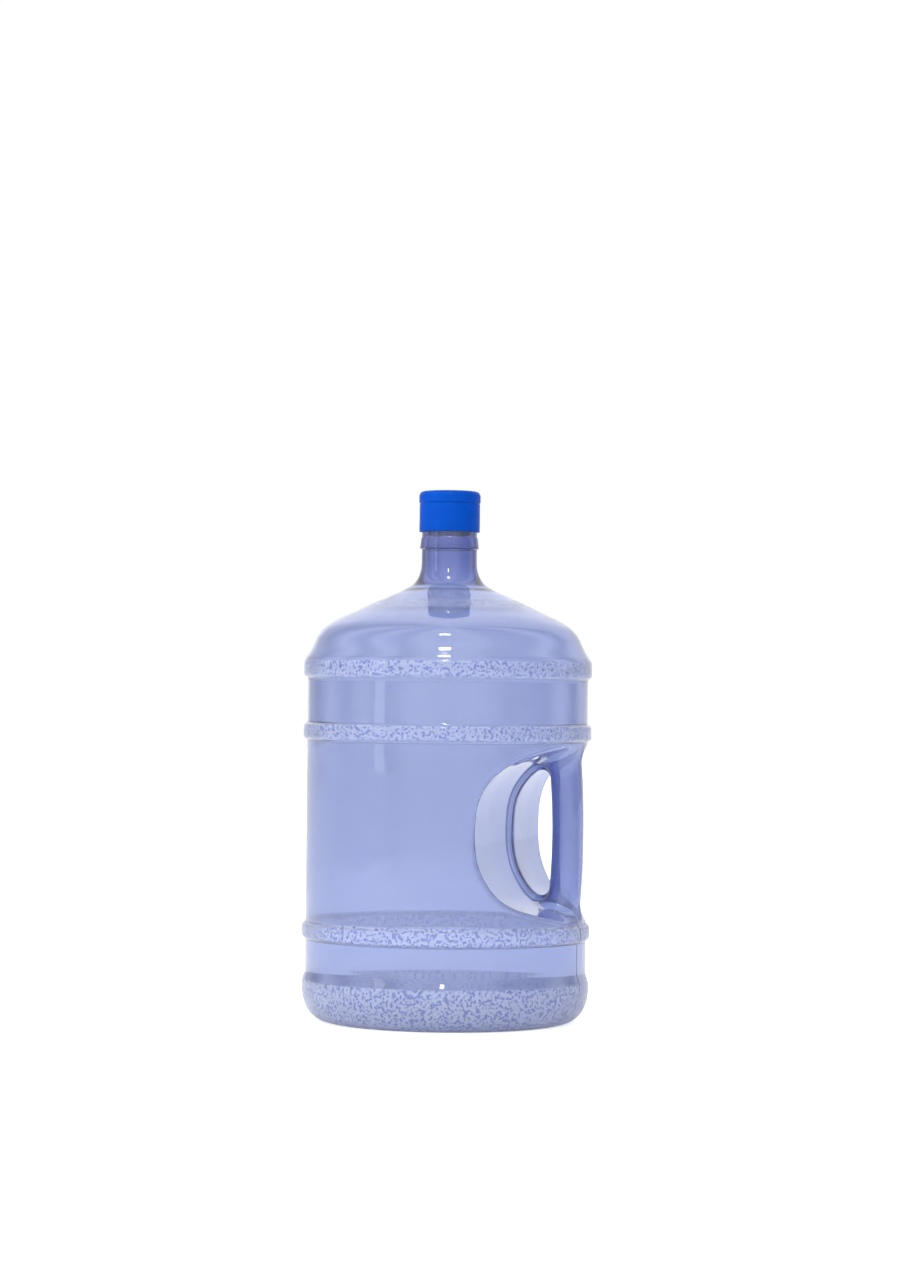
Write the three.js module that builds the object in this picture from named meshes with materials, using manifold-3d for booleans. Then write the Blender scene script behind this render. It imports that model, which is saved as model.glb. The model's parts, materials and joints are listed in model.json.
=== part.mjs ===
// A five-gallon water-cooler jug: one blow-moulded polycarbonate bottle with a handle moulded into its
// side, and a push-on non-spill cap made of a shell, a foam liner, a valve plug, a tear tab and a hygiene seal.
// Millimetres, +Z up. The origin is the centre of the ring that the jug stands on, and the handle is on +X.
import * as THREE from "three";
import { mergeVertices } from "three/addons/utils/BufferGeometryUtils.js";
import Module from "manifold-3d";

const wasm = await Module();
wasm.setup();

// ---- Driving dimensions ----
const PANEL_R = 131.5; // the plain wall between the bands
const BAND_R = 135; // the grained bands, which make the jug's widest diameter, 270
const BAND_SLOPE = 7; // height over which the wall runs out to a band
const SEGMENTS = 48; // facets round the bottle
const CAP_SEGMENTS = 40; // and round the cap

const BASE = { ringIn: 103, ringOut: 110, domeHeight: 16, corner: 24, bandTop: 38 };
const LOWER_BAND = { low: 79, high: 91 };
const UPPER_BAND = { low: 264, high: 280 };
const SHOULDER_BAND = { low: 322, high: 337 };
const SHOULDER = {
  waistR: 125.6, waistZ: 353, coneStartR: 106, coneStartZ: 374.4, coneEndR: 47, coneEndZ: 401.4,
};
const NECK = {
  r: 26, rootZ: 426, bore: 21.6,
  beadR: 27.7, beadLow: 441.5, beadTopR: 26.6, beadHigh: 452,
  lipR: 26.9, lipLow: 478,
};
const LIP_Z = 490; // height of the bottle without its cap
const WALL = { base: 1.8, body: 1.3, shoulder: 1.9 };

// The pocket is cut right through the body, front to back. Its outline lies in the XZ plane.
// A rib stands along the middle of its wall, where the two halves of the mould pinched the plastic together.
const POCKET = {
  centreZ: 178.5, depth: 140, rim: { apexX: 59.3, rise: 65 },
  root: { apexX: 61.4, rise: 63.4, y: 11 }, rib: { apexX: 65.4, rise: 58.6, y: 3.5 },
};
const GRIP = { centreX: 115.6, bow: 4.2, bowSpan: 66, halfWidth: 14.9, halfDepth: 18, halfLength: 96 };

const CAP = {
  r: 28.3, rimR: 28.8, topZ: 496, grooveZ: 484.4, rimFaceR: 22.6,
  plateTop: 494.4, plateUnder: 492.5, skirtLow: 457.8, skirtIn: 27.3,
  sleeveOut: 21, sleeveIn: 19.7, sleeveLow: 453, tubeOut: 13.3, tubeIn: 12, tubeLow: 457.4,
};
const GAP = 0.3; // left between pieces that touch
const LINER = { inner: 21.6, outer: 26.9 };
const PLUG = {
  r: 11.6, wall: 1.2, top: 469.4, floor: 453.4, flangeR: 13.2, flangeLow: 452.4, flangeHigh: 457,
};
const SEAL = { r: 20.6, thickness: 0.5, tabWidth: 11, tabLength: 6 };
const TAB = { angle: Math.PI, halfAngle: 0.26, top: 470, clearance: 0.45 };

// The bottle is one moulding. It is divided at these heights, and beside the handle, so that the
// collision of each zone follows the hollow that the zone bends round.
const ZONES = { baseTop: 56, bodyTop: 310, shoulderTop: 404, neckTop: 454.6, pocketX: 50 };
const GRIP_ZONE = { x: 97, halfDepth: 60, low: 118, high: 239 };

const polycarbonate = new THREE.MeshStandardMaterial({
  color: 0x93a2d0, roughness: 0.06, metalness: 0, transparent: true, opacity: 0.45,
});
const bluePolyethylene = new THREE.MeshStandardMaterial({ color: 0x0455c3, roughness: 0.32, metalness: 0 });
const whiteFoam = new THREE.MeshStandardMaterial({ color: 0xf1f2ee, roughness: 0.95, metalness: 0 });
const valvePolyethylene = new THREE.MeshStandardMaterial({ color: 0xdfe8f4, roughness: 0.4, metalness: 0 });
const sealFilm = new THREE.MeshStandardMaterial({ color: 0xe9edf3, roughness: 0.35, metalness: 0 });

// ---- From three.js geometry to solids and back ----

/** A closed three.js geometry as a manifold-3d solid. */
function solidOf(geometry) {
  const bare = geometry.clone();
  bare.deleteAttribute("normal");
  bare.deleteAttribute("uv");
  const merged = mergeVertices(bare, 1e-4);
  const index = merged.index.array;
  const triangles = [];
  for (let i = 0; i < index.length; i += 3) {
    const [a, b, c] = [index[i], index[i + 1], index[i + 2]];
    if (a !== b && b !== c && c !== a) triangles.push(a, b, c); // a pole's triangles have no area
  }
  const vertProperties = new Float32Array(merged.attributes.position.array);
  const triVerts = new Uint32Array(triangles);
  return new wasm.Manifold(new wasm.Mesh({ numProp: 3, vertProperties, triVerts }));
}

/** A named mesh of a solid. */
function meshOf(name, solid, material) {
  const { vertProperties, triVerts } = solid.getMesh();
  const geometry = new THREE.BufferGeometry();
  geometry.setAttribute("position", new THREE.BufferAttribute(new Float32Array(vertProperties), 3));
  geometry.setIndex(new THREE.BufferAttribute(new Uint32Array(triVerts), 1));
  const flat = geometry.toNonIndexed();
  flat.computeVertexNormals();
  const mesh = new THREE.Mesh(flat, material);
  mesh.name = name;
  return mesh;
}

/** A profile of [radius, height] pairs, from the lower end round to the upper one, turned about Z. */
function turned(profile, segments = SEGMENTS) {
  const points = profile.map(([r, z]) => new THREE.Vector2(r, z));
  return solidOf(new THREE.LatheGeometry(points, segments).rotateX(Math.PI / 2));
}

/** A ring or tube: a profile that closes on itself, turned about Z. */
function turnedRing(profile, segments = CAP_SEGMENTS) {
  return turned([...profile, profile[0]], segments);
}

// ---- Profiles ----

/** Points of a cubic curve between two [radius, height] pairs, without its first point. */
function curve(from, fromHandle, toHandle, to, steps) {
  const v = ([r, z]) => new THREE.Vector2(r, z);
  const line = new THREE.CubicBezierCurve(v(from), v(fromHandle), v(toHandle), v(to));
  return line.getPoints(steps).slice(1).map((p) => [p.x, p.y]);
}

/** A raised band: out along a slope, up its face and back to the panel. */
function band({ low, high }) {
  return [[PANEL_R, low - BAND_SLOPE], [BAND_R, low], [BAND_R, high], [PANEL_R, high + BAND_SLOPE]];
}

/** The bottle's outside below the neck: push-up dome, standing ring, base corner, bands and shoulder. */
function bodyProfile() {
  const { ringIn, ringOut, domeHeight, corner, bandTop } = BASE;
  const { waistR, waistZ, coneStartR, coneStartZ, coneEndR, coneEndZ } = SHOULDER;
  const baseBandR = BAND_R - 0.8;
  return [
    [0, domeHeight],
    ...curve([0, domeHeight], [ringIn * 0.55, domeHeight], [ringIn * 0.9, domeHeight * 0.62], [ringIn, 0], 4),
    [ringOut, 0],
    ...curve([ringOut, 0], [ringOut + 7.5, 0], [baseBandR - 4.5, corner * 0.36], [baseBandR, corner + 6], 5),
    [baseBandR, bandTop],
    [PANEL_R, bandTop + BAND_SLOPE + 4],
    ...band(LOWER_BAND),
    ...band(UPPER_BAND),
    ...band(SHOULDER_BAND).slice(0, 3),
    ...curve(
      [BAND_R, SHOULDER_BAND.high], [BAND_R - 0.6, SHOULDER_BAND.high + 7],
      [waistR + 1, waistZ - 6], [waistR, waistZ], 3,
    ),
    ...curve(
      [waistR, waistZ], [waistR - 2.2, waistZ + 9],
      [coneStartR + 9, coneStartZ - 5], [coneStartR, coneStartZ], 4,
    ),
    [coneEndR, coneEndZ],
  ];
}

/** The neck's outside: root fillet, straight stretch, transfer bead, and the lip that the cap snaps over. */
function neckProfile() {
  const { r, rootZ, beadR, beadLow, beadTopR, beadHigh, lipR, lipLow } = NECK;
  return [
    ...curve([SHOULDER.coneEndR, SHOULDER.coneEndZ], [35.4, 406], [r + 0.9, 411], [r, rootZ], 4),
    [r, beadLow - 0.6], [beadR, beadLow], [beadR, beadLow + 1.5], [beadTopR, beadHigh], [r, beadHigh + 1],
    [r, lipLow], [lipR, lipLow + 2], [lipR, LIP_Z - 2], [lipR - 1.4, LIP_Z],
  ];
}

/** The wall's thickness at a height. */
function wallAt(z) {
  if (z < BASE.bandTop) return WALL.base;
  if (z < SHOULDER.waistZ) return WALL.body;
  return WALL.shoulder;
}

/** The body profile moved in by the wall. */
function insetProfile(profile) {
  return profile.map(([r, z], i) => {
    const [r0, z0] = profile[Math.max(i - 1, 0)];
    const [r1, z1] = profile[Math.min(i + 1, profile.length - 1)];
    const length = Math.hypot(r1 - r0, z1 - z0);
    const wall = wallAt(z);
    const inside = r - ((z1 - z0) / length) * wall;
    return [r === 0 ? 0 : inside, z + ((r1 - r0) / length) * wall];
  });
}

// ---- The handle ----

/** The pocket's D-shaped outline as [x, z]: round towards the bottle's axis, with its mouth past the wall. */
function pocketOutline(apexX, rise, steps = 5) {
  const upper = [[160, rise + 33], [119, rise + 11], [88, rise]];
  const round = curve([88, rise], [apexX + 12.5, rise - 7], [apexX, rise * 0.52], [apexX, rise * 0.2], steps);
  const half = [...upper, ...round];
  const mirrored = half.map(([x, z]) => [x, -z]).reverse();
  return [...half, ...mirrored].map(([x, z]) => [x, z + POCKET.centreZ]);
}

/** Outlines of equal count at stations along Y, joined into one closed solid. */
function loft(stations) {
  const positions = [];
  const point = (s, i) => [stations[s].outline[i][0], stations[s].y, stations[s].outline[i][1]];
  const count = stations[0].outline.length;
  const last = stations.length - 1;
  for (let s = 0; s < last; s++) {
    for (let i = 0; i < count; i++) {
      const j = (i + 1) % count;
      positions.push(...point(s, i), ...point(s + 1, i), ...point(s + 1, j));
      positions.push(...point(s, i), ...point(s + 1, j), ...point(s, j));
    }
  }
  for (const [s, turn] of [[0, false], [last, true]]) {
    const flat = stations[s].outline.map(([x, z]) => new THREE.Vector2(x, z));
    for (const [a, b, c] of THREE.ShapeUtils.triangulateShape(flat, [])) {
      positions.push(...point(s, a), ...point(s, turn ? c : b), ...point(s, turn ? b : c));
    }
  }
  const geometry = new THREE.BufferGeometry();
  geometry.setAttribute("position", new THREE.Float32BufferAttribute(positions, 3));
  const solid = solidOf(geometry);
  if (solid.volume() > 0) return solid;
  for (let i = 0; i < positions.length; i += 9) {
    const second = positions.slice(i + 3, i + 6);
    positions.copyWithin(i + 3, i + 6, i + 9);
    positions.set(second, i + 6);
  }
  geometry.setAttribute("position", new THREE.Float32BufferAttribute(positions, 3));
  return solidOf(geometry);
}

/** The space cut through the body for the hand. grow makes it larger, for the cavity's side of the wall. */
function pocket(grow) {
  const { depth, rim, root, rib } = POCKET;
  const outline = ({ apexX, rise }) => pocketOutline(apexX - grow, rise + grow);
  const half = [{ y: depth, outline: outline(rim) }, { y: root.y, outline: outline(root) }];
  // The rib is solid, so the cavity passes behind it.
  if (grow === 0) half.push({ y: rib.y, outline: outline(rib) });
  const other = half.map((station) => ({ ...station, y: -station.y }));
  return loft([...other, ...half.reverse()]);
}

/** The grip: an upright tube that bows outwards and flares where it runs into the body. shrink is the wall. */
function grip(shrink) {
  const { centreX, bow, bowSpan, halfWidth, halfDepth, halfLength } = GRIP;
  const rings = 12;
  const sides = 16;
  const outlineAt = (t) => {
    const fromMiddle = t * halfLength;
    const x = centreX - bow * Math.min(fromMiddle / bowSpan, 1.1) ** 2;
    const flare = Math.max(0, (Math.abs(fromMiddle) - 52) / 22) ** 2;
    const a = halfWidth + 5 * flare - shrink;
    const b = halfDepth + 8 * flare - shrink;
    return Array.from({ length: sides }, (_, k) => {
      const angle = (2 * Math.PI * k) / sides;
      return [x - 4.6 * flare + a * Math.cos(angle), b * Math.sin(angle)];
    });
  };
  const stations = Array.from({ length: rings + 1 }, (_, i) => {
    const t = (2 * i) / rings - 1;
    return { y: t * halfLength, outline: outlineAt(t) };
  });
  return loft(stations).rotate([90, 0, 0]).translate([0, 0, POCKET.centreZ]);
}

/** The one-piece bottle: the turned shape, less the pocket, plus the grip, all hollow and open at the lip. */
function bottleBody() {
  const body = bodyProfile();
  const neck = neckProfile();
  const outsideWhole = turned([...body, ...neck, [0, LIP_Z]]);
  const barrel = turned([[0, 20], [PANEL_R, 20], [PANEL_R, 340], [0, 340]]);
  const outside = outsideWhole.subtract(pocket(0)).add(grip(0).intersect(barrel));
  const bore = NECK.bore;
  const cavityWhole = turned([
    ...insetProfile(body).slice(0, -1),
    [bore + 15, 400.4], [bore + 4, 407], [bore, 418], [bore, LIP_Z + 5], [0, LIP_Z + 5],
  ]);
  const barrelInside = turned([[0, 24], [PANEL_R - WALL.body, 24], [PANEL_R - WALL.body, 336], [0, 336]]);
  const gripInside = grip(WALL.body).intersect(barrelInside);
  return outside.subtract(cavityWhole.subtract(pocket(WALL.body)).add(gripInside));
}

/** A box between two corners, smaller by half the gap on every side, or larger where the gap is negative. */
function zoneBox([x0, y0, z0], [x1, y1, z1], gap = GAP) {
  const box = new THREE.BoxGeometry(x1 - x0 - gap, y1 - y0 - gap, z1 - z0 - gap);
  return solidOf(box.translate((x0 + x1) / 2, (y0 + y1) / 2, (z0 + z1) / 2));
}

/** The bottle's zones as [name, solid]. */
function bottleZones() {
  const bottle = bottleBody();
  const { baseTop, bodyTop, shoulderTop, neckTop, pocketX } = ZONES;
  const far = 200;
  const level = (low, high) => bottle.intersect(zoneBox([-far, -far, low], [far, far, high]));
  const gripCorners = [
    [GRIP_ZONE.x, -GRIP_ZONE.halfDepth, GRIP_ZONE.low],
    [far, GRIP_ZONE.halfDepth, GRIP_ZONE.high],
  ];
  const handleSide = bottle.intersect(zoneBox([pocketX, -far, baseTop], [far, far, bodyTop]));
  const pocketSide = handleSide.subtract(zoneBox(...gripCorners, -GAP));
  const middle = POCKET.centreZ;
  return [
    ["bottle_base", level(-far, baseTop)],
    ["bottle_body", bottle.intersect(zoneBox([-far, -far, baseTop], [pocketX, far, bodyTop]))],
    ["bottle_pocket_lower", pocketSide.intersect(zoneBox([-far, -far, -far], [far, far, middle]))],
    ["bottle_pocket_upper", pocketSide.intersect(zoneBox([-far, -far, middle], [far, far, far + bodyTop]))],
    ["bottle_grip", handleSide.intersect(zoneBox(...gripCorners))],
    ["bottle_shoulder", level(bodyTop, shoulderTop)],
    ["bottle_neck", level(shoulderTop, neckTop)],
    ["bottle_finish", level(neckTop, LIP_Z + far)],
  ];
}

// ---- The cap ----

/** The part of a ring between two heights and two radii that lies within an angle either side of a direction. */
function ringSector(inner, outer, low, high, angle, halfAngle) {
  const sector = new THREE.Shape();
  sector.absarc(0, 0, outer, angle - halfAngle, angle + halfAngle, false);
  sector.absarc(0, 0, inner, angle + halfAngle, angle - halfAngle, true);
  const block = new THREE.ExtrudeGeometry(sector, { depth: high - low, bevelEnabled: false, curveSegments: 6 });
  return solidOf(block.translate(0, 0, low));
}

/** Skirt, top plate with its raised rim, sealing sleeve and valve tube, moulded as one. */
function capShell() {
  const c = CAP;
  const shell = turnedRing([
    [c.skirtIn, c.skirtLow + 1], [c.skirtIn + 0.3, c.skirtLow], [c.r, c.skirtLow], [c.r, c.grooveZ - 0.8],
    [c.r - 0.4, c.grooveZ - 0.3], [c.r - 0.4, c.grooveZ + 0.3], [c.rimR, c.grooveZ + 1], [c.rimR, c.topZ - 4.2],
    [c.rimR - 1.2, c.topZ - 1.4], [c.rimR - 4, c.topZ], [c.rimFaceR, c.topZ], [c.rimFaceR, c.plateTop],
    [c.tubeIn + 0.8, c.plateTop], [c.tubeIn, c.plateTop - 1], [c.tubeIn, c.tubeLow],
    [c.tubeOut, c.tubeLow], [c.tubeOut, c.plateUnder],
    [c.sleeveIn, c.plateUnder], [c.sleeveIn, c.sleeveLow], [c.sleeveOut - 0.6, c.sleeveLow],
    [c.sleeveOut, c.sleeveLow + 2],
    [c.sleeveOut, c.plateUnder], [c.skirtIn, c.plateUnder],
  ]);
  const { angle, halfAngle, top, clearance } = TAB;
  const side = halfAngle + clearance / c.r;
  return shell.subtract(ringSector(c.skirtIn - 2, c.rimR + 2, c.skirtLow - 2, top + clearance, angle, side));
}

/** The tab that lifts out of the skirt to start the tear. */
function tearTab() {
  const { angle, halfAngle, top } = TAB;
  return ringSector(CAP.skirtIn, CAP.r, CAP.skirtLow, top, angle, halfAngle);
}

/** The foam ring between the lip and the cap's plate. */
function foamLiner() {
  const low = LIP_Z + GAP;
  const high = CAP.plateUnder - GAP;
  return turnedRing([[LINER.inner, low], [LINER.outer, low], [LINER.outer, high], [LINER.inner, high]]);
}

/** The plug that closes the valve tube: a cup, open upwards to take the probe, with a flange under the tube. */
function valvePlug() {
  const { r, wall, top, floor, flangeR, flangeLow, flangeHigh } = PLUG;
  return turned([
    [0, flangeLow], [flangeR - 1, flangeLow], [flangeR, flangeLow + 1], [flangeR, flangeHigh], [r, flangeHigh],
    [r, top - 1], [r - 0.4, top], [r - wall, top], [r - wall, floor + 1.4], [0, floor + 1.4],
  ], 36);
}

/** The peel-off disc over the valve, with the tab that it is pulled by. */
function hygieneSeal() {
  const low = CAP.plateTop + GAP;
  const disc = turned([[0, low], [SEAL.r, low], [SEAL.r, low + SEAL.thickness], [0, low + SEAL.thickness]], 40);
  const tab = new THREE.BoxGeometry(SEAL.tabLength * 2, SEAL.tabWidth, SEAL.thickness);
  return disc.add(solidOf(tab.translate(SEAL.r - SEAL.tabLength - 0.4, 0, low + SEAL.thickness / 2)));
}

const jug = new THREE.Group();
jug.add(
  ...bottleZones().map(([name, solid]) => meshOf(name, solid, polycarbonate)),
  meshOf("cap_shell", capShell(), bluePolyethylene),
  meshOf("cap_tear_tab", tearTab(), bluePolyethylene),
  meshOf("cap_foam_liner", foamLiner(), whiteFoam),
  meshOf("valve_plug", valvePlug(), valvePolyethylene),
  meshOf("hygiene_seal", hygieneSeal(), sealFilm),
);

export default jug;
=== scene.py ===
"""A 5 gallon water-cooler jug in blue-tinted polycarbonate, with a side handle and a push-on valve cap."""

import json
import logging
import math
from dataclasses import dataclass, field
from enum import Enum

import bmesh
import bpy
import numpy as np
from bpy.types import ID, Material, Node, NodeSocket, NodeTree, Object
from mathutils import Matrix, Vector


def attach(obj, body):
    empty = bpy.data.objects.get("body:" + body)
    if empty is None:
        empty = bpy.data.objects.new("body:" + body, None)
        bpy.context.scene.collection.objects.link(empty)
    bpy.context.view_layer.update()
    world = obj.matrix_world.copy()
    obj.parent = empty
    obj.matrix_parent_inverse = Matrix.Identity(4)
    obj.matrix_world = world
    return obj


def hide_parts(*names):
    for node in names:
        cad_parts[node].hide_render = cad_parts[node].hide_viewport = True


log = logging.getLogger("jug")

MM = 0.001


class Body(Enum):
    """The bodies of the frame that pieces ride on."""

    BOTTLE = "bottle"
    CAP = "cap"
    TEAR_TAB = "tear_tab"
    PLUG = "plug"


class Slot(Enum):
    """The record's material slots."""

    POLYCARBONATE = "polycarbonate"
    CAP_PLASTIC = "cap_plastic"
    FOAM = "foam"
    VALVE_PLASTIC = "valve_plastic"
    SEAL_FILM = "seal_film"


def linear(hex_code: str) -> tuple[float, float, float, float]:
    """Turns an sRGB hex colour into linear light.

    Args:
        hex_code: Six hex digits, such as "0455c3".

    Returns:
        Linear red, green and blue, with an alpha of 1.
    """
    channels = [int(hex_code[i : i + 2], 16) / 255 for i in (0, 2, 4)]
    light = [c / 12.92 if c <= 0.04045 else ((c + 0.055) / 1.055) ** 2.4 for c in channels]
    return (light[0], light[1], light[2], 1.0)


def add(
    tree: NodeTree,
    kind: str,
    settings: dict[str, object] | None = None,
    inputs: dict[str | int, object] | None = None,
) -> Node:
    """Adds one node with its settings, and sets or links its inputs.

    Args:
        tree: The shader or geometry tree to add to.
        kind: The node's type name.
        settings: Values for the node's own properties.
        inputs: For each input, by name or number, a value, or the output socket to link to it.

    Returns:
        The new node.
    """
    node = tree.nodes.new(kind)
    for name, value in (settings or {}).items():
        setattr(node, name, value)
    for key, value in (inputs or {}).items():
        if isinstance(value, NodeSocket):
            tree.links.new(value, node.inputs[key])
        else:
            node.inputs[key].default_value = value
    return node


def blank_material(name: str) -> tuple[Material, NodeTree]:
    """Makes a material with an empty node tree.

    Args:
        name: The material's name.

    Returns:
        The material and its tree.
    """
    material = bpy.data.materials.new(name)
    material.use_nodes = True
    material.node_tree.nodes.clear()
    return material, material.node_tree


def link_object(name: str, data: ID) -> Object:
    """Makes an object of some data and links it into the scene."""
    made = bpy.data.objects.new(name, data)
    bpy.context.scene.collection.objects.link(made)
    return made


def object_from(name: str, work: bmesh.types.BMesh) -> Object:
    """Makes an object of a bmesh, with its faces pointing outwards, and frees the bmesh."""
    bmesh.ops.recalc_face_normals(work, faces=work.faces)
    data = bpy.data.meshes.new(name)
    work.to_mesh(data)
    work.free()
    return link_object(name, data)


# ---- Finishes ----


def math_node(tree: NodeTree, operation: str, a: object, b: object = 0.0, c: object = 0.0) -> NodeSocket:
    """Adds a Math node and gives its output."""
    return add(tree, "ShaderNodeMath", {"operation": operation}, {0: a, 1: b, 2: c}).outputs[0]


def map_range(
    tree: NodeTree,
    value: NodeSocket,
    source: tuple[float, float],
    target: tuple[float, float],
    smooth: bool = True,
) -> NodeSocket:
    """Adds a Map Range node.

    Args:
        tree: The tree.
        value: The value to map.
        source: The range that it is read over.
        target: What it becomes at each end of that range, and beyond.
        smooth: Whether it eases in and out rather than going straight.

    Returns:
        The mapped value's socket.
    """
    settings = {"interpolation_type": "SMOOTHSTEP" if smooth else "LINEAR"}
    inputs = {0: value, 1: source[0], 2: source[1], 3: target[0], 4: target[1]}
    return add(tree, "ShaderNodeMapRange", settings, inputs).outputs[0]


def noise(
    tree: NodeTree,
    place: NodeSocket,
    size_mm: float,
    detail: float,
    roughness: float = 0.5,
    distortion: float = 0.0,
) -> NodeSocket:
    """Adds a Noise Texture with lumps of about a size in millimetres, and gives its factor."""
    inputs = {
        "Vector": place, "Scale": 1 / (size_mm * MM), "Detail": detail, "Roughness": roughness,
        "Distortion": distortion,
    }
    return add(tree, "ShaderNodeTexNoise", inputs=inputs).outputs[0]


def cells(tree: NodeTree, place: NodeSocket, pitch_mm: float, randomness: float) -> NodeSocket:
    """Adds a Voronoi Texture of a pitch in millimetres, and gives the distance from its cells' centres."""
    inputs = {"Vector": place, "Scale": 1 / (pitch_mm * MM), "Randomness": randomness}
    return add(tree, "ShaderNodeTexVoronoi", {"feature": "F1"}, inputs).outputs["Distance"]


def blend(
    tree: NodeTree,
    factor: NodeSocket,
    first: str | NodeSocket,
    second: str | NodeSocket,
) -> NodeSocket:
    """Mixes two colours, each a hex code or a socket, and gives the result."""
    a, b = (linear(colour) if isinstance(colour, str) else colour for colour in (first, second))
    return add(tree, "ShaderNodeMix", {"data_type": "RGBA"}, {"Factor": factor, 6: a, 7: b}).outputs[2]


def bump(
    tree: NodeTree,
    height: NodeSocket,
    depth_mm: float,
    strength: float,
    under: NodeSocket | None = None,
    invert: bool = False,
) -> NodeSocket:
    """Adds a Bump node of a depth in millimetres, over another's normal if one is given."""
    inputs = {"Height": height, "Distance": depth_mm * MM, "Strength": strength}
    if under is not None:
        inputs["Normal"] = under
    return add(tree, "ShaderNodeBump", {"invert": invert}, inputs).outputs[0]


def finish_material(tree: NodeTree, surface: dict[str, object], volume: NodeSocket | None = None) -> None:
    """Ends a material's tree with a Principled surface, and a volume if one is given."""
    ends = {"Surface": add(tree, "ShaderNodeBsdfPrincipled", inputs=surface).outputs[0]}
    if volume is not None:
        ends["Volume"] = volume
    add(tree, "ShaderNodeOutputMaterial", inputs=ends)


@dataclass(frozen=True)
class GrainZone:
    """A band of the bottle, between two heights, where the mould is grained."""

    low: float
    high: float
    depth: float


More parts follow.
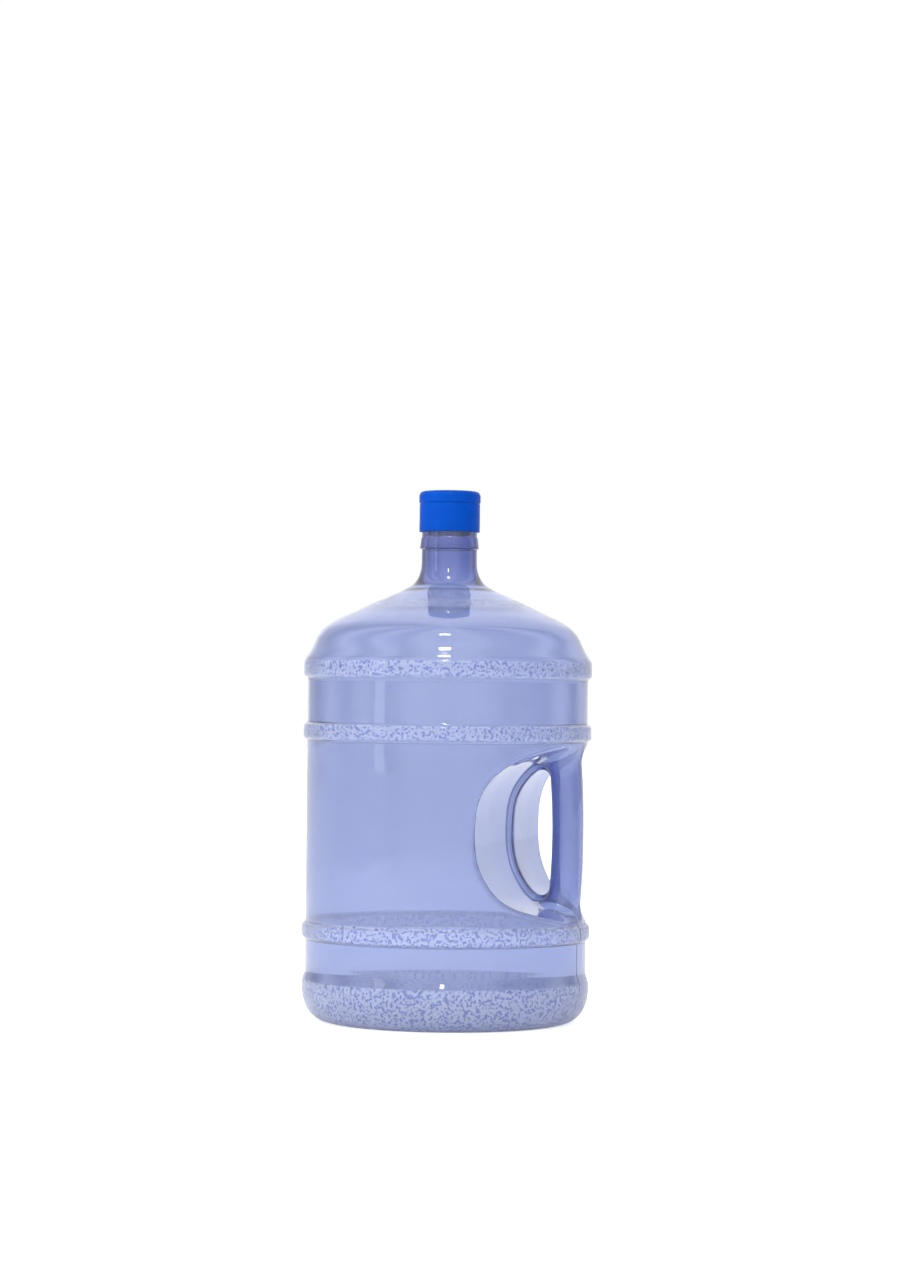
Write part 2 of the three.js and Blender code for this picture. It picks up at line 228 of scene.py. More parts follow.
@dataclass(frozen=True)
class TintedPolycarbonate:
    """Polycarbonate, tinted blue right through and blow-moulded.

    The clear wall keeps the gloss of the polished mould and a slow waviness from the blowing. Its colour is in
    the plastic, so it is pale face-on and deepens where the wall is seen on edge. The bands have pebble grain,
    which scatters the light. Crates and hands leave fine scuffs on it.
    """

    ior: float = 1.585
    tint: str = "4c7eda"
    density: float = 236.0
    haze: float = 0.07
    haze_colour: str = "e0e6f5"
    roughness: float = 0.035
    pebble_mm: float = 2.6
    seam_mm: float = 0.9
    insert_mm: float = 14.0
    insert_line_mm: float = 1.5
    insert_span_mm: tuple[float, float, float] = (22, 44, 98)
    zone_fade_mm: float = 1.2
    # The colour that the handle insert's lines are painted: painted shade, where the wall is seen edge-on.
    insert_line_shade_colour: str = "5563b0"
    grain_scatter: float = 0.25
    grain_colour: str = "d3dbf2"
    # The colour painted into the grain's pits: painted shade in the hollows.
    pit_shade_colour: str = "8f9cd3"
    zones: tuple[GrainZone, ...] = (
        GrainZone(0.0, 40.0, 1.1),
        GrainZone(78.0, 95.0, 1.0),
        GrainZone(263.5, 277.5, 1.0),
        GrainZone(321.5, 336.5, 1.0),
        GrainZone(386.5, 393.5, 0.7),
    )

    def grain_mask(self, tree: NodeTree, place: NodeSocket) -> NodeSocket:
        """Makes a factor that is above 0 only on the outer skin of the grained zones.

        Args:
            tree: The material's tree.
            place: Object coordinates.

        Returns:
            The factor's socket.
        """
        height = add(tree, "ShaderNodeSeparateXYZ", inputs={0: place}).outputs["Z"]
        total: NodeSocket | float = 0.0
        fade = self.zone_fade_mm
        for zone in self.zones:
            low, high = (((edge - fade) * MM, (edge + fade) * MM) for edge in (zone.low, zone.high))
            rise = map_range(tree, height, low, (0.0, zone.depth))
            fall = map_range(tree, height, high, (1.0, 0.0))
            total = math_node(tree, "MAXIMUM", total, math_node(tree, "MULTIPLY", rise, fall))
        outside = add(tree, "ShaderNodeAttribute", {"attribute_name": "outside"}).outputs["Fac"]
        return math_node(tree, "MULTIPLY", total, outside)

    def mould_lines(self, tree: NodeTree, place: NodeSocket) -> tuple[NodeSocket, NodeSocket]:
        """Makes the factors of the raised lines that the mould's joints leave.

        Args:
            tree: The material's tree.
            place: Object coordinates.

        Returns:
            A factor on the seam between the mould's halves, and one on the two lines of its handle insert.
        """
        spot = add(tree, "ShaderNodeSeparateXYZ", inputs={0: place}).outputs
        side = math_node(tree, "ABSOLUTE", spot["Y"])
        from_insert = math_node(tree, "ABSOLUTE", math_node(tree, "SUBTRACT", side, self.insert_mm * MM))
        outside = add(tree, "ShaderNodeAttribute", {"attribute_name": "outside"}).outputs["Fac"]
        seam, insert = (
            math_node(
                tree, "MULTIPLY", map_range(tree, away, (reach * 0.3 * MM, reach * MM), (1.0, 0.0)), outside
            )
            for away, reach in ((side, self.seam_mm), (from_insert, self.insert_line_mm))
        )
        # The insert's lines run from above the base to the foot of the handle's recess, on its side only.
        start, full, top = (height * MM for height in self.insert_span_mm)
        span = map_range(tree, spot["Z"], (start, full), (0.0, 1.0), smooth=False)
        below = math_node(tree, "MULTIPLY", math_node(tree, "LESS_THAN", spot["Z"], top), span)
        handle_side = math_node(tree, "MULTIPLY", math_node(tree, "GREATER_THAN", spot["X"], 0.0), below)
        return seam, math_node(tree, "MULTIPLY", insert, handle_side)

    def build(self) -> Material:
        """Builds the material.

        Returns:
            The finished material.
        """
        material, tree = blank_material("polycarbonate_blow_moulded_blue")
        place = add(tree, "ShaderNodeTexCoord").outputs["Object"]
        mask = self.grain_mask(tree, place)
        # The grain is drawn coarser than a real jug has, so that it shows in a view of the whole.
        pits = map_range(tree, noise(tree, place, self.pebble_mm, 1.5, 0.6), (0.49, 0.60), (0.0, 1.0))
        # The pits, which the bump below sinks in, are painted darker than the raised grain: painted shade.
        pit_shade_speckle = blend(tree, pits, self.grain_colour, self.pit_shade_colour)
        shade = blend(tree, mask, self.haze_colour, pit_shade_speckle)
        seam, insert = self.mould_lines(tree, place)
        wavy = bump(tree, noise(tree, place, 55, 1.0, 0.4), 1.1, 0.5)
        grained = bump(tree, math_node(tree, "MULTIPLY", pits, mask), 0.3, 0.6, wavy, invert=True)
        seamed = bump(tree, math_node(tree, "MAXIMUM", seam, insert), 1.1, 1.0, grained)
        scuffs = noise(tree, place, 9, 6.0, 0.65)
        worn = map_range(tree, scuffs, (0.52, 0.78), (self.roughness, self.roughness + 0.09), smooth=False)
        volume = add(
            tree, "ShaderNodeVolumeAbsorption", inputs={"Color": linear(self.tint), "Density": self.density}
        )
        clear = 1.0 - self.haze
        finish_material(
            tree,
            {
                # The insert's lines are raised by the bump and are also painted darker: painted shade.
                "Base Color": blend(tree, insert, shade, self.insert_line_shade_colour),
                "Roughness": math_node(tree, "MULTIPLY_ADD", mask, 0.14, worn),
                "IOR": self.ior,
                "Transmission Weight": math_node(tree, "MULTIPLY_ADD", mask, -self.grain_scatter, clear),
                "Normal": seamed,
            },
            volume.outputs[0],
        )
        return material


@dataclass(frozen=True)
class MouldedPlastic:
    """An opaque or milky plastic, injection-moulded, with flow marks, fine texture and light scuffs."""

    name: str
    colour: str
    deep_colour: str
    roughness: float
    subsurface: float = 0.0
    subsurface_mm: float = 1.0
    flow_mm: float = 14.0
    texture_mm: float = 0.7
    texture_depth_mm: float = 0.02

    def build(self) -> Material:
        """Builds the material.

        Returns:
            The finished material.
        """
        material, tree = blank_material(self.name)
        place = add(tree, "ShaderNodeTexCoord").outputs["Object"]
        flow = noise(tree, place, self.flow_mm, 3.0)
        fine = noise(tree, place, self.texture_mm, 2.0)
        scuffs = noise(tree, place, 4, 5.0, 0.7)
        worn = (self.roughness - 0.05, self.roughness + 0.10)
        finish_material(
            tree,
            {
                "Base Color": blend(tree, flow, self.deep_colour, self.colour),
                "Roughness": map_range(tree, scuffs, (0.35, 0.75), worn, smooth=False),
                "IOR": 1.51,
                "Specular IOR Level": 0.05,
                "Subsurface Weight": self.subsurface,
                "Subsurface Radius": (0.4, 0.7, 1.0),
                "Subsurface Scale": self.subsurface_mm * MM,
                "Normal": bump(tree, fine, self.texture_depth_mm, 0.6),
            },
        )
        return material


@dataclass(frozen=True)
class ClosedCellFoam:
    """White polyethylene foam, die-cut from sheet: matt, with the tiny dents of its cells."""

    colour: str = "f0f1ec"
    # The darker colour, painted into the grooves between the cells as shade.
    deep_colour: str = "cfd2cb"
    cell_mm: float = 0.6

    def build(self) -> Material:
        """Builds the material.

        Returns:
            The finished material.
        """
        material, tree = blank_material("polyethylene_foam_closed_cell")
        place = add(tree, "ShaderNodeTexCoord").outputs["Object"]
        dents = cells(tree, place, self.cell_mm, 1.0)
        finish_material(
            tree,
            {
                # The colour deepens where the bump sinks the cells' edges into grooves: painted shade.
                "Base Color": blend(tree, dents, self.colour, self.deep_colour),
                "Roughness": 0.92,
                "Normal": bump(tree, dents, 0.12, 0.7, invert=True),
            },
        )
        return material


@dataclass(frozen=True)
class LaminatedFilm:
    """White sealing film on foil: smooth, a little creased, with faint dots from the sealing iron."""

    colour: str = "e8ecf2"
    deep_colour: str = "d5dbe6"
    dot_mm: float = 1.6

    def build(self) -> Material:
        """Builds the material.

        Returns:
            The finished material.
        """
        material, tree = blank_material("film_laminate_heat_sealed")
        place = add(tree, "ShaderNodeTexCoord").outputs["Object"]
        creases = noise(tree, place, 7, 4.0, distortion=1.5)
        creased = bump(tree, creases, 0.25, 0.5)
        finish_material(
            tree,
            {
                "Base Color": blend(tree, creases, self.colour, self.deep_colour),
                "Roughness": 0.3,
                "Coat Weight": 0.4,
                "Coat Roughness": 0.15,
                "Normal": bump(tree, cells(tree, place, self.dot_mm, 0.0), 0.05, 0.6, creased),
            },
        )
        return material


# ---- The bottle's shape ----

Points = np.ndarray


def smooth_max(a: Points, b: Points, k: float) -> Points:
    """Takes the larger of two fields, with the crease between them rounded over about k millimetres."""
    h = np.clip(k - np.abs(a - b), 0.0, None) / k
    return np.maximum(a, b) + h * h * k * 0.25


def smooth_min(a: Points, b: Points, k: float) -> Points:
    """Takes the smaller of two fields, with the crease between them filleted over about k millimetres."""
    return -smooth_max(-a, -b, k)


def smooth_step(low: float, high: float, x: Points) -> Points:
    """Rises smoothly from 0 at low to 1 at high."""
    t = np.clip((x - low) / (high - low), 0.0, 1.0)
    return t * t * (3 - 2 * t)


def mixed(a: Points, b: Points, t: Points, start: float, end: float) -> Points:
    """Goes from a to b as t goes from start to end."""
    return (end - t) / (end - start) * a + (t - start) / (end - start) * b


def spline(knots: list[tuple[float, float]], step: float) -> Points:
    """Runs a smooth curve through knots.

    Args:
        knots: The points that it passes through, at least two.
        step: The longest distance between points of the result, in millimetres.

    Returns:
        The points of the curve, as rows of two.
    """
    points = np.array(knots, float)
    padded = np.vstack([2 * points[0] - points[1], points, 2 * points[-1] - points[-2]])
    result = [points[:1]]
    for i in range(len(points) - 1):
        p0, p1, p2, p3 = padded[i : i + 4]
        count = max(1, math.ceil(float(np.linalg.norm(p2 - p1)) / step))
        knot = [0.0]
        for a, b in ((p0, p1), (p1, p2), (p2, p3)):
            knot.append(knot[-1] + math.sqrt(float(np.linalg.norm(b - a))))
        t = np.linspace(knot[1], knot[2], count + 1)[1:, None]
        spans = enumerate(((p0, p1), (p1, p2), (p2, p3)))
        row = [mixed(a, b, t, knot[i], knot[i + 1]) for i, (a, b) in spans]
        row = [mixed(row[i], row[i + 1], t, knot[i], knot[i + 2]) for i in (0, 1)]
        result.append(mixed(row[0], row[1], t, knot[1], knot[2]))
    return np.vstack(result)


def rounded(corners: list[tuple[float, float, float]], step: float = 0.5) -> Points:
    """Rounds the corners of an open outline.

    Args:
        corners: Each corner as two coordinates and its fillet radius, in millimetres.
        step: The longest distance between points on a fillet.

    Returns:
        The points of the rounded outline, as rows of two.
    """
    points = [np.array(corners[0][:2], float)]
    for before, here, after in zip(corners, corners[1:], corners[2:]):
        p, a, b = (np.array(c[:2], float) for c in (here, before, after))
        u, v = a - p, b - p
        lu, lv = float(np.linalg.norm(u)), float(np.linalg.norm(v))
        u, v = u / lu, v / lv
        half = math.acos(max(-1.0, min(1.0, float(u @ v)))) / 2
        reach = min(here[2] / math.tan(half), lu * 0.49, lv * 0.49) if here[2] > 0 else 0.0
        if reach < 1e-4:
            points.append(p)
            continue
        radius = reach * math.tan(half)
        centre = p + (u + v) / float(np.linalg.norm(u + v)) * radius / math.sin(half)
        start, end = p + u * reach - centre, p + v * reach - centre
        turn = math.pi - 2 * half
        count = max(2, math.ceil(turn * radius / step))
        for i in range(count + 1):
            w = i / count
            points.append(
                centre + (start * math.sin((1 - w) * turn) + end * math.sin(w * turn)) / math.sin(turn)
            )
    points.append(np.array(corners[-1][:2], float))
    return np.array(points)


@dataclass
class BottleShell:
    """The one-piece bottle: outer and inner skin of one closed wall, with the handle moulded into its side.

    Below and above the handle the wall is turned from a profile. Between those heights it is the surface of a
    field: the turned barrel, less the hand pocket, plus the grip, blended where they meet. Sizes are in
    millimetres.
    """

    panel_r: float = 131.35
    band_r: float = 134.7
    base_r: float = 134.2
    wall: float = 1.45
    base_wall: float = 1.25
    shoulder_wall: float = 1.4
    grip_thickening: float = 0.8
    low: float = 62.0
    high: float = 300.0
    pocket_centre: float = 178.5
    pocket_outline: list[tuple[float, float]] = field(
        default_factory=lambda: [
            (175.0, 72.0), (150.0, 83.5), (131.1, 92.5), (118.9, 99.8), (103.9, 106.6), (90.4, 112.6),
            (77.8, 122.4), (68.2, 136.6), (62.4, 150.8), (59.6, 168.0), (59.5, 189.0), (61.4, 206.0),
            (66.6, 219.8), (75.6, 232.6), (88.4, 243.0), (106.5, 250.8), (131.0, 262.0), (150.0, 271.0),
            (175.0, 283.0),
        ]
    )
    grid_step: float = 0.75
    draft: float = 2.2
    draft_reach: float = 75.0
    rib_height: float = 4.2
    rib_half_width: float = 2.2
    rib_fade: float = 5.5
    grip_x: float = 117.6
    grip_bow: float = 3.6
    grip_half_width: float = 14.9
    grip_half_depth: float = 17.6
    flare_from: float = 50.0
    root_fillet: float = 13.0
    edge_fillet: float = 2.6

    def __post_init__(self) -> None:
        """Measures the pocket's outline once, on a fine grid of distances."""
        outline = spline(self.pocket_outline, 1.5)
        self._grid_x = np.arange(40.0, 172.0, self.grid_step)
        self._grid_z = np.arange(50.0, 312.0, self.grid_step)
        gx, gz = np.meshgrid(self._grid_x, self._grid_z, indexing="ij")
        points = np.stack([gx.ravel(), gz.ravel()], 1)
        a, b = outline[:-1], outline[1:]
        along = b - a
        best = np.full(len(points), 1e9)
        for start, step in zip(a, along):
            t = np.clip(((points - start) @ step) / float(step @ step), 0.0, 1.0)
            best = np.minimum(best, np.sum((points - start - t[:, None] * step) ** 2, 1))
        distance = np.sqrt(best)
        # The pocket is to the right of its outline: count the crossings of a ray towards +X.
        crossings = np.zeros(len(points), int)
        for (x0, z0), (x1, z1) in zip(a, b):
            spans = (points[:, 1] >= min(z0, z1)) & (points[:, 1] < max(z0, z1))
            x = x0 + (points[:, 1] - z0) / ((z1 - z0) or 1e-9) * (x1 - x0)
            crossings += spans & (points[:, 0] < x)
        inside = (crossings % 2 == 0) & (points[:, 1] > outline[0, 1]) & (points[:, 1] < outline[-1, 1])
        signed = np.where(inside, distance, -distance).reshape(gx.shape)
        # A blur takes the creases out of the distances.
        reach = 4
        kernel = np.exp(-0.5 * (np.arange(-reach, reach + 1) / 1.8) ** 2)
        kernel /= kernel.sum()
        for axis in (0, 1):
            padded = np.pad(signed, [(reach, reach) if i == axis else (0, 0) for i in (0, 1)], mode="edge")
            signed = np.apply_along_axis(lambda row: np.convolve(row, kernel, "valid"), axis, padded)
        self._pocket = signed

    def pocket_depth(self, x: Points, z: Points) -> Points:
        """Measures how far inside the pocket's outline a point is.

        Args:
            x: Distances from the bottle's axis towards the handle, in millimetres.
            z: Heights in millimetres.

        Returns:
            The depths, which are negative outside the pocket.
        """
        u = np.clip((x - self._grid_x[0]) / self.grid_step, 0, len(self._grid_x) - 1.001)
        v = np.clip((z - self._grid_z[0]) / self.grid_step, 0, len(self._grid_z) - 1.001)
        i, j = u.astype(int), v.astype(int)
        s, t = u - i, v - j
        g = self._pocket
        near = (1 - t) * g[i, j] + t * g[i, j + 1]
        far = (1 - t) * g[i + 1, j] + t * g[i + 1, j + 1]
        return (1 - s) * near + s * far

    def barrel_radius(self, z: Points) -> Points:
        """Gives the radius of the barrel, with its raised bands, at heights between 44 and 337 mm."""
        rise = self.band_r - self.panel_r
        lower = smooth_step(76.5, 80.5, z) - smooth_step(90.0, 94.0, z)
        upper = smooth_step(261.5, 265.5, z) - smooth_step(275.5, 279.5, z)
        top = smooth_step(319.5, 323.5, z)
        base = (self.base_r - self.panel_r) * (1 - smooth_step(37.0, 49.5, z))
        return self.panel_r + rise * (lower + upper + top) + base

    def distance(self, points: Points, rib: float) -> Points:
        """Measures how far points are outside the bottle's outer surface near the handle.

        Args:
            points: Rows of x, y and z, in millimetres.
            rib: How much of the height of the rib along the pocket's middle counts, from 0 to 1.

        Returns:
            The distances, which are negative in the plastic and the hollow.
        """
        x, y, z = points[:, 0], points[:, 1], points[:, 2]
        barrel = np.hypot(x, y) - self.barrel_radius(z)
        side = np.abs(y)
        inset = self.draft * (1 - smooth_step(0.0, self.draft_reach, side))
        rib_end = self.rib_half_width + self.rib_fade
        inset = inset + rib * self.rib_height * (1 - smooth_step(self.rib_half_width, rib_end, side))
        pocket = self.pocket_depth(x, z) - inset
        from_middle = z - self.pocket_centre
        # The grip spreads towards its two roots.
        flare = np.clip((np.abs(from_middle) - self.flare_from) / 22.0, 0.0, 2.2) ** 2
        centre = self.grip_x - self.grip_bow * np.minimum(np.abs(from_middle) / 66.0, 1.1) ** 2 - 4.6 * flare
        a = self.grip_half_width + 5.0 * flare
        b = self.grip_half_depth + 8.0 * flare
        u, v = (x - centre) / a, y / b
        reach = np.sqrt(u * u + v * v) + 1e-6
        slope = np.sqrt((u / a) ** 2 + (v / b) ** 2) / reach + 1e-6
        grip = np.where(x > 20, np.clip((reach - 1) / slope, -30, 60), 60.0)
        solid = smooth_min(pocket, grip, self.root_fillet)
        return smooth_max(barrel, solid, self.edge_fillet)

    def thickening(self, points: Points) -> Points:
        """Gives how many times thicker than elsewhere the wall is, which is more than 1 only in the grip.

        Args:
            points: Rows of x, y and z, in millimetres.

        Returns:
            The factors.
        """
        x, side, z = points[:, 0], np.abs(points[:, 1]), points[:, 2]
        across = smooth_step(86.0, 98.0, x) * (1 - smooth_step(24.0, 34.0, side))
        along = smooth_step(104.0, 126.0, z) - smooth_step(232.0, 254.0, z)
        return 1 + self.grip_thickening * across * along

    def columns(self) -> Points:
        """Gives the angles of the grid's lines round the bottle, closest together at the handle."""
        def run(start: float, end: float, count: int) -> list[float]:
            return list(np.linspace(start, end, count, endpoint=False))

        half = run(0, 14, 12) + run(14, 48, 18) + run(48, 68, 13) + run(68, 82, 6) + run(82, 180, 24)
        return np.radians(np.array([-a for a in half[:0:-1]] + half + [180.0]))[:-1]

    def levels(self) -> Points:
        """Gives the heights of the grid's lines between the low and high ends of the handle's zone."""
        steps = [
            (self.low, 74.0, 4.0), (74.0, 98.0, 1.5), (98.0, 124.0, 1.85), (124.0, 232.0, 3.0),
            (232.0, 258.0, 1.85), (258.0, 285.0, 1.5), (285.0, self.high, 4.0),
        ]
        lines: list[float] = []
        for start, end, step in steps:
            lines += list(np.linspace(start, end, max(1, round((end - start) / step)), endpoint=False))
        return np.array(lines + [self.high])

    def net(self, offset: float, rib: float) -> tuple[Points, Points, list[tuple[int, ...]], Points, Points]:
        """Nets the field's surface, at an offset, on a grid of radii, angles and heights.

        Args:
            offset: How far inside the outer surface the net lies, in millimetres.
            rib: How much of the rib's height the field has.

        Returns:
            The vertices, their normals, the faces, and the vertex numbers of the lowest and the highest ring.
        """
        radii = np.arange(51.0, 141.0, 2.0) - offset * 0.55
        angles, levels = self.columns(), self.levels()
        nr, na, nz = len(radii), len(angles), len(levels)
        r, a, z = np.meshgrid(radii, angles, levels, indexing="ij")
        corners = np.stack([r * np.cos(a), r * np.sin(a), z], -1)
        flat = corners.reshape(-1, 3)
        value = (self.distance(flat, rib) + offset * self.thickening(flat)).reshape(nr, na, nz)
        inside = value < 0
        total = np.zeros((nr - 1, na, nz - 1, 3))
        crossings = np.zeros((nr - 1, na, nz - 1))

        def shifted(array: Points, di: int, dj: int, dk: int) -> Points:
            rolled = np.roll(array, -dj, axis=1)
            return rolled[di : nr - 1 + di, :, dk : nz - 1 + dk]

        # Each cell's point is the mean of where the surface crosses the cell's twelve edges.
        cell = [(i, j, k) for i in (0, 1) for j in (0, 1) for k in (0, 1)]
        edges = [
            (p, q) for p in cell for q in cell
            if sum(q) - sum(p) == 1 and all(n >= m for m, n in zip(p, q))
        ]
        for p, q in edges:
            vp, vq = shifted(value, *p), shifted(value, *q)
            crossed = shifted(inside, *p) != shifted(inside, *q)
            t = np.where(crossed, vp / np.where(crossed, vp - vq, 1.0), 0.0)[..., None]
            crossing = shifted(corners, *p) * (1 - t) + shifted(corners, *q) * t
            total += np.where(crossed[..., None], crossing, 0.0)
            crossings += crossed
        used = crossings > 0
        number = np.full(used.shape, -1)
        number[used] = np.arange(int(used.sum()))
        vertices = total[used] / crossings[used][:, None]
        faces: list[tuple[int, ...]] = []
        for axis in range(3):
            if axis == 1:
                changed = inside != np.roll(inside, -1, axis=1)
            else:
                first = [slice(None)] * 3
                second = [slice(None)] * 3
                first[axis], second[axis] = slice(0, -1), slice(1, None)
                changed = inside[tuple(first)] != inside[tuple(second)]
            for i, j, k in np.argwhere(changed):
                around = []
                b, c = [(1, 2), (2, 0), (0, 1)][axis]
                for db, dc in ((0, 0), (1, 0), (1, 1), (0, 1)):
                    at = [i, j, k]
                    at[b] -= 1 - db
                    at[c] -= 1 - dc
                    at[1] %= na
                    if not (0 <= at[0] < nr - 1 and 0 <= at[2] < nz - 1):
                        around = []
                        break
                    around.append(int(number[at[0], at[1], at[2]]))
                if len(around) == 4 and min(around) >= 0:
                    faces.append(tuple(around if inside[i, j, k] else around[::-1]))
        low_ring = np.array([number[:, j, 0].max() for j in range(na)])
        high_ring = np.array([number[:, j, nz - 2].max() for j in range(na)])
        longest_move = 1.5
        for _ in range(3):
            slope = self.slope(vertices, rib)
            off = self.distance(vertices, rib) + offset * self.thickening(vertices)
            move = (off / np.maximum(np.sum(slope * slope, 1), 0.2))[:, None] * slope
            reach = np.linalg.norm(move, axis=1, keepdims=True)
            vertices = vertices - move * np.minimum(1.0, longest_move / np.maximum(reach, 1e-9))
        normals = self.slope(vertices, rib)
        normals /= np.linalg.norm(normals, axis=1, keepdims=True)
        return vertices, normals, faces, low_ring, high_ring

    def slope(self, points: Points, rib: float) -> Points:
        """Gives the field's gradient at points, from differences over a short reach each way."""
        reach = 0.45
        result = np.empty_like(points)
        for axis in range(3):
            step = np.zeros(3)
            step[axis] = reach
            ahead, behind = self.distance(points + step, rib), self.distance(points - step, rib)
            result[:, axis] = (ahead - behind) / (2 * reach)
        return result

    def profiles(self) -> dict[str, Points]:
        """Draws the turned parts of both skins, as rows of radius and height.

        Returns:
            The outer foot and top, and the inner foot and top, each running away from the handle's zone.
        """
        ring = [(103.0, 0.0), (110.0, 0.0)]
        dome = [(0.0, 16.0), (20.0, 15.6), (44.0, 13.9), (66.0, 10.9), (84.0, 7.3), (96.0, 3.6)]
        corner = [(120.0, 3.0), (127.6, 9.6), (132.0, 18.2), (134.0, 28.0)]
        foot = spline([*dome, (101.6, 0.7), (105.5, 0.0), *ring[1:], *corner, (self.base_r, 36.0)], 2.6)
        foot[:, 1] = np.maximum(foot[:, 1], 0.0)
        rise = np.arange(38.0, self.low - 1.0, 1.7)
        foot = np.vstack([foot, np.stack([self.barrel_radius(rise), rise], 1)])[::-1]
        rise = np.arange(self.high + 2.5, 334.0, 1.6)
        shoulder = spline(
            [
                (134.7, 334.8), (133.9, 338.0), (131.2, 342.6), (128.0, 347.8), (125.6, 352.6),
                (121.9, 360.3), (115.8, 367.8), (104.1, 375.3), (88.1, 382.8), (71.7, 390.3), (54.8, 397.8),
                (42.0, 403.6), (33.4, 409.0), (28.6, 416.0), (26.4, 424.0), (26.0, 430.0), (26.0, 436.0),
            ],
            2.3,
        )
        neck = rounded(
            [
                (26.0, 437.0, 0), (26.0, 441.2, 0.5), (27.7, 442.0, 0.5), (27.7, 443.6, 0.7),
                (26.7, 451.8, 0.5), (26.0, 453.2, 0.5), (26.0, 477.4, 0.6), (26.9, 478.6, 0.6),
                (26.9, 490.0, 1.6), (21.6, 490.0, 1.2), (21.6, 433.0, 4.0),
            ],
            0.9,
        )
        top = np.vstack([np.stack([self.barrel_radius(rise), rise], 1), shoulder, neck])
        inner_shoulder = self.inset(shoulder[shoulder[:, 0] > 42.0], self.shoulder_wall)[::2]
        rise = np.arange(self.high + 2.5, 333.0, 2.4)
        thinning = 0.05 * smooth_step(305.0, 334.0, rise)
        inner_top = np.vstack(
            [
                np.stack([self.barrel_radius(rise) - self.wall - thinning, rise], 1),
                inner_shoulder,
                spline([(38.4, 403.4), (29.6, 409.4), (24.6, 416.5), (22.3, 424.0), (21.6, 431.0)], 1.7),
            ]
        )
        inner_foot = self.inset(foot, self.base_wall)
        inner_foot = np.vstack([inner_foot[:-1:2], inner_foot[-1:]])
        blend = smooth_step(50.0, self.low, inner_foot[:, 1])
        inner_foot[:, 0] += (self.base_wall - self.wall) * blend
        inner_foot[-1, 0] = 0.0
        return {"foot": foot, "top": top, "inner_foot": inner_foot, "inner_top": inner_top}

    @staticmethod
    def inset(profile: Points, thickness: float) -> Points:
        """Moves a profile into the bottle by a thickness.

        Args:
            profile: Rows of radius and height.
            thickness: The wall's thickness in millimetres.

        Returns:
            The moved profile.
        """
        along = np.gradient(profile, axis=0)
        along /= np.linalg.norm(along, axis=1, keepdims=True)
        across = np.stack([-along[:, 1], along[:, 0]], 1)
        inward = -1.0 if across[0, 0] > 0 else 1.0
        moved = profile + across * thickness * inward
        moved[:, 0] = np.maximum(moved[:, 0], 0.0)
        return moved


@dataclass
class ShellMesh:
    """Gathers the vertices, normals and faces of the bottle's wall."""

    vertices: list[Points] = field(default_factory=list)
    normals: list[Points] = field(default_factory=list)
    outside: list[Points] = field(default_factory=list)
    faces: list[tuple[int, ...]] = field(default_factory=list)
    count: int = 0

    def add(self, vertices: Points, normals: Points, outside: float) -> int:
        """Adds vertices.

        Args:
            vertices: Rows of x, y and z in millimetres.
            normals: Their normals, pointing out of the plastic.
            outside: 1 on the outer skin and 0 on the inner.

        Returns:
            The number of the first of them.
        """
        first = self.count
        self.vertices.append(vertices)
        self.normals.append(normals)
        self.outside.append(np.full(len(vertices), outside))
        self.count += len(vertices)
        return first

    def turn(self, profile: Points, angles: Points, outside: float, flip: bool, start: Points) -> Points:
        """Turns a profile and joins its first ring to a ring that is already there.

        Args:
            profile: Rows of radius and height, in order away from the start ring.
            angles: The angle of each column.
            outside: 1 on the outer skin and 0 on the inner.
            flip: Whether the faces turn the other way.
            start: The vertex numbers of the ring to join to.

        Returns:
            The vertex numbers of the last ring, which is one number if the profile ends on the axis.
        """
        along = np.gradient(profile, axis=0)
        along /= np.maximum(np.linalg.norm(along, axis=1, keepdims=True), 1e-9)
        across = np.stack([along[:, 1], -along[:, 0]], 1) * (-1 if flip else 1)
        ring = start
        n = len(angles)
        for (radius, height), (nr, nz) in zip(profile, across):
            if radius < 1e-6:
                point = self.add(np.array([[0.0, 0.0, height]]), np.array([[0.0, 0.0, np.sign(nz)]]), outside)
                for j in range(n):
                    face = (int(ring[j]), int(ring[(j + 1) % n]), point)
                    self.faces.append(face[::-1] if flip else face)
                return np.array([point])
            circle = np.stack([radius * np.cos(angles), radius * np.sin(angles), np.full(n, height)], 1)
            normal = np.stack([nr * np.cos(angles), nr * np.sin(angles), np.full(n, nz)], 1)
            first = self.add(circle, normal, outside)
            following = np.arange(first, first + n)
            self.bridge(ring, following, flip)
            ring = following
        return ring

    def bridge(self, ring: Points, following: Points, flip: bool) -> None:
        """Joins two rings of equal count with faces."""
        n = len(ring)
        for j in range(n):
            k = (j + 1) % n
            face = (int(ring[j]), int(ring[k]), int(following[k]), int(following[j]))
            self.faces.append(face[::-1] if flip else face)

    def to_object(self, name: str, material: Material) -> Object:
        """Makes the object, in metres.

        Args:
            name: The object's name.
            material: Its material.

        Returns:
            The new object.
        """
        mesh = bpy.data.meshes.new(name)
        mesh.from_pydata((np.vstack(self.vertices) * MM).tolist(), [], self.faces)
        outside = mesh.attributes.new("outside", "FLOAT", "POINT")
        outside.data.foreach_set("value", np.concatenate(self.outside).astype(np.float32))
        mesh.materials.append(material)
        mesh.shade_smooth()
        mesh.update()
        mesh.normals_split_custom_set_from_vertices(np.vstack(self.normals).tolist())
        return link_object(name, mesh)


